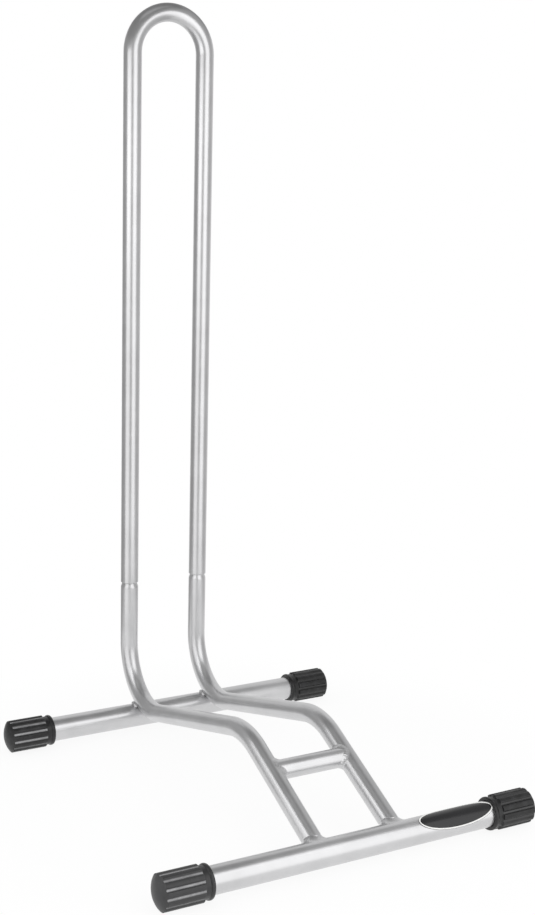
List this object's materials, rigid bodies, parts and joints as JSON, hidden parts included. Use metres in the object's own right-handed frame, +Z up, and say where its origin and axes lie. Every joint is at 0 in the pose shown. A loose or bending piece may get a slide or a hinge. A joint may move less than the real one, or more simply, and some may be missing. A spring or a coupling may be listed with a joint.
{
  "type": "bicycle display stand",
  "caption": "Free-standing bicycle display stand: capped cross bars, bent frame tubes with a wheel rung, and a tall lift-off hoop that holds a bicycle wheel upright.",
  "frame": {"origin": "on the floor, under the middle of the stand's outline", "axes": "+Z up, the height of the hoop; +X to the right along the bars, seen from the front; +Y from the front bar to the rear bar and the hoop"},
  "size_m": [0.4246, 0.4594, 0.8198],
  "materials": {
    "silver_paint": "satin",
    "black_rubber": "matte"
  },
  "bodies": {
    "base": {"front_bar": "silver_paint", "rear_bar": "silver_paint", "left_frame_tube": "silver_paint", "right_frame_tube": "silver_paint", "wheel_rung": "silver_paint", "front_left_end_cap": "black_rubber", "front_right_end_cap": "black_rubber", "rear_left_end_cap": "black_rubber", "rear_right_end_cap": "black_rubber", "left_front_weld": "silver_paint", "left_rung_weld": "silver_paint", "left_rear_outer_weld": "silver_paint", "left_rear_inner_weld": "silver_paint", "right_front_weld": "silver_paint", "right_rung_weld": "silver_paint", "right_rear_outer_weld": "silver_paint", "right_rear_inner_weld": "silver_paint"},
    "hoop": {"upper_hoop": "silver_paint"}
  },
  "joints": [
    {"name": "hoop_lift", "type": "slide", "parent": "base", "child": "hoop", "axis": [0, 0, 1], "range_m": [0, 0.06]}
  ]
}
